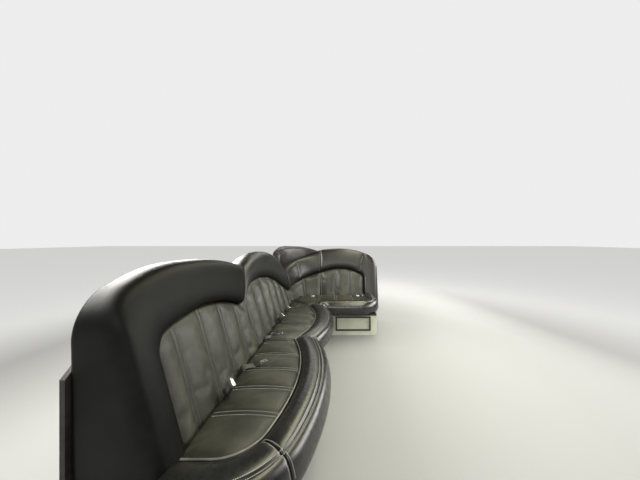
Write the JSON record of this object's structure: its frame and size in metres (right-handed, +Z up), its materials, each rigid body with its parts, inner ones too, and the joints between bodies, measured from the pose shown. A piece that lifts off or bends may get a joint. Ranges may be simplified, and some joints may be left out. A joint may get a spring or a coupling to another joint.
{
  "type": "corner bench seat of a stretch limousine",
  "caption": "L-shaped leather bench seat of a long cabin, with a scalloped rolled border, channelled panels, lobed backrest, lap belts and a plywood base.",
  "frame": {"origin": "on the floor, under the middle of the bench's outline", "axes": "+Z up, +Y along the side bench to the rear bench, +X from the side bench's wall into the cabin"},
  "size_m": [1.25, 2.625, 0.9897],
  "materials": {
    "leather": "soft semi-gloss, fine grain",
    "leather_panel": "soft semi-gloss, stitched channels",
    "base_cover": "black carpet over board",
    "base_carpet": "short grey carpet over board",
    "base_trim": "satin moulded frame",
    "plywood": "raw birch plywood",
    "steel": "zinc plated",
    "webbing": "woven belt webbing",
    "buckle_plastic": "black with a fine texture",
    "chrome": "polished"
  },
  "bodies": {
    "root": {"side_kick_board": "base_cover", "rear_kick_board": "base_carpet", "rear_access_frame": "base_trim", "rear_access_panel": "base_carpet", "near_end_board": "base_cover", "rear_end_board": "base_cover", "side_base_rib_1": "plywood", "side_base_rib_2": "plywood", "side_base_rib_3": "plywood", "rear_base_rib": "plywood", "side_wall_board": "plywood", "rear_wall_board": "plywood", "side_seat_board": "plywood", "rear_seat_board": "plywood", "floor_brackets": "steel", "seat_bolster_near_end": "leather", "seat_bolster_near_lobe": "leather", "seat_bolster_far_lobe": "leather", "rear_seat_bolster": "leather", "side_seat_insert": "leather_panel", "rear_seat_insert": "leather_panel", "side_back_bolster_near": "leather", "side_back_bolster_far": "leather", "side_back_insert": "leather_panel", "corner_back_bolster": "leather", "rear_back_bolster": "leather", "rear_back_end_post": "leather", "rear_back_insert": "leather_panel", "corner_pad": "leather", "side_belt_webbing": "webbing", "side_belt_buckles": "buckle_plastic", "side_belt_tongues": "chrome", "rear_belt_webbing": "webbing", "rear_belt_buckles": "buckle_plastic", "rear_belt_tongues": "chrome"}
  },
  "joints": []
}
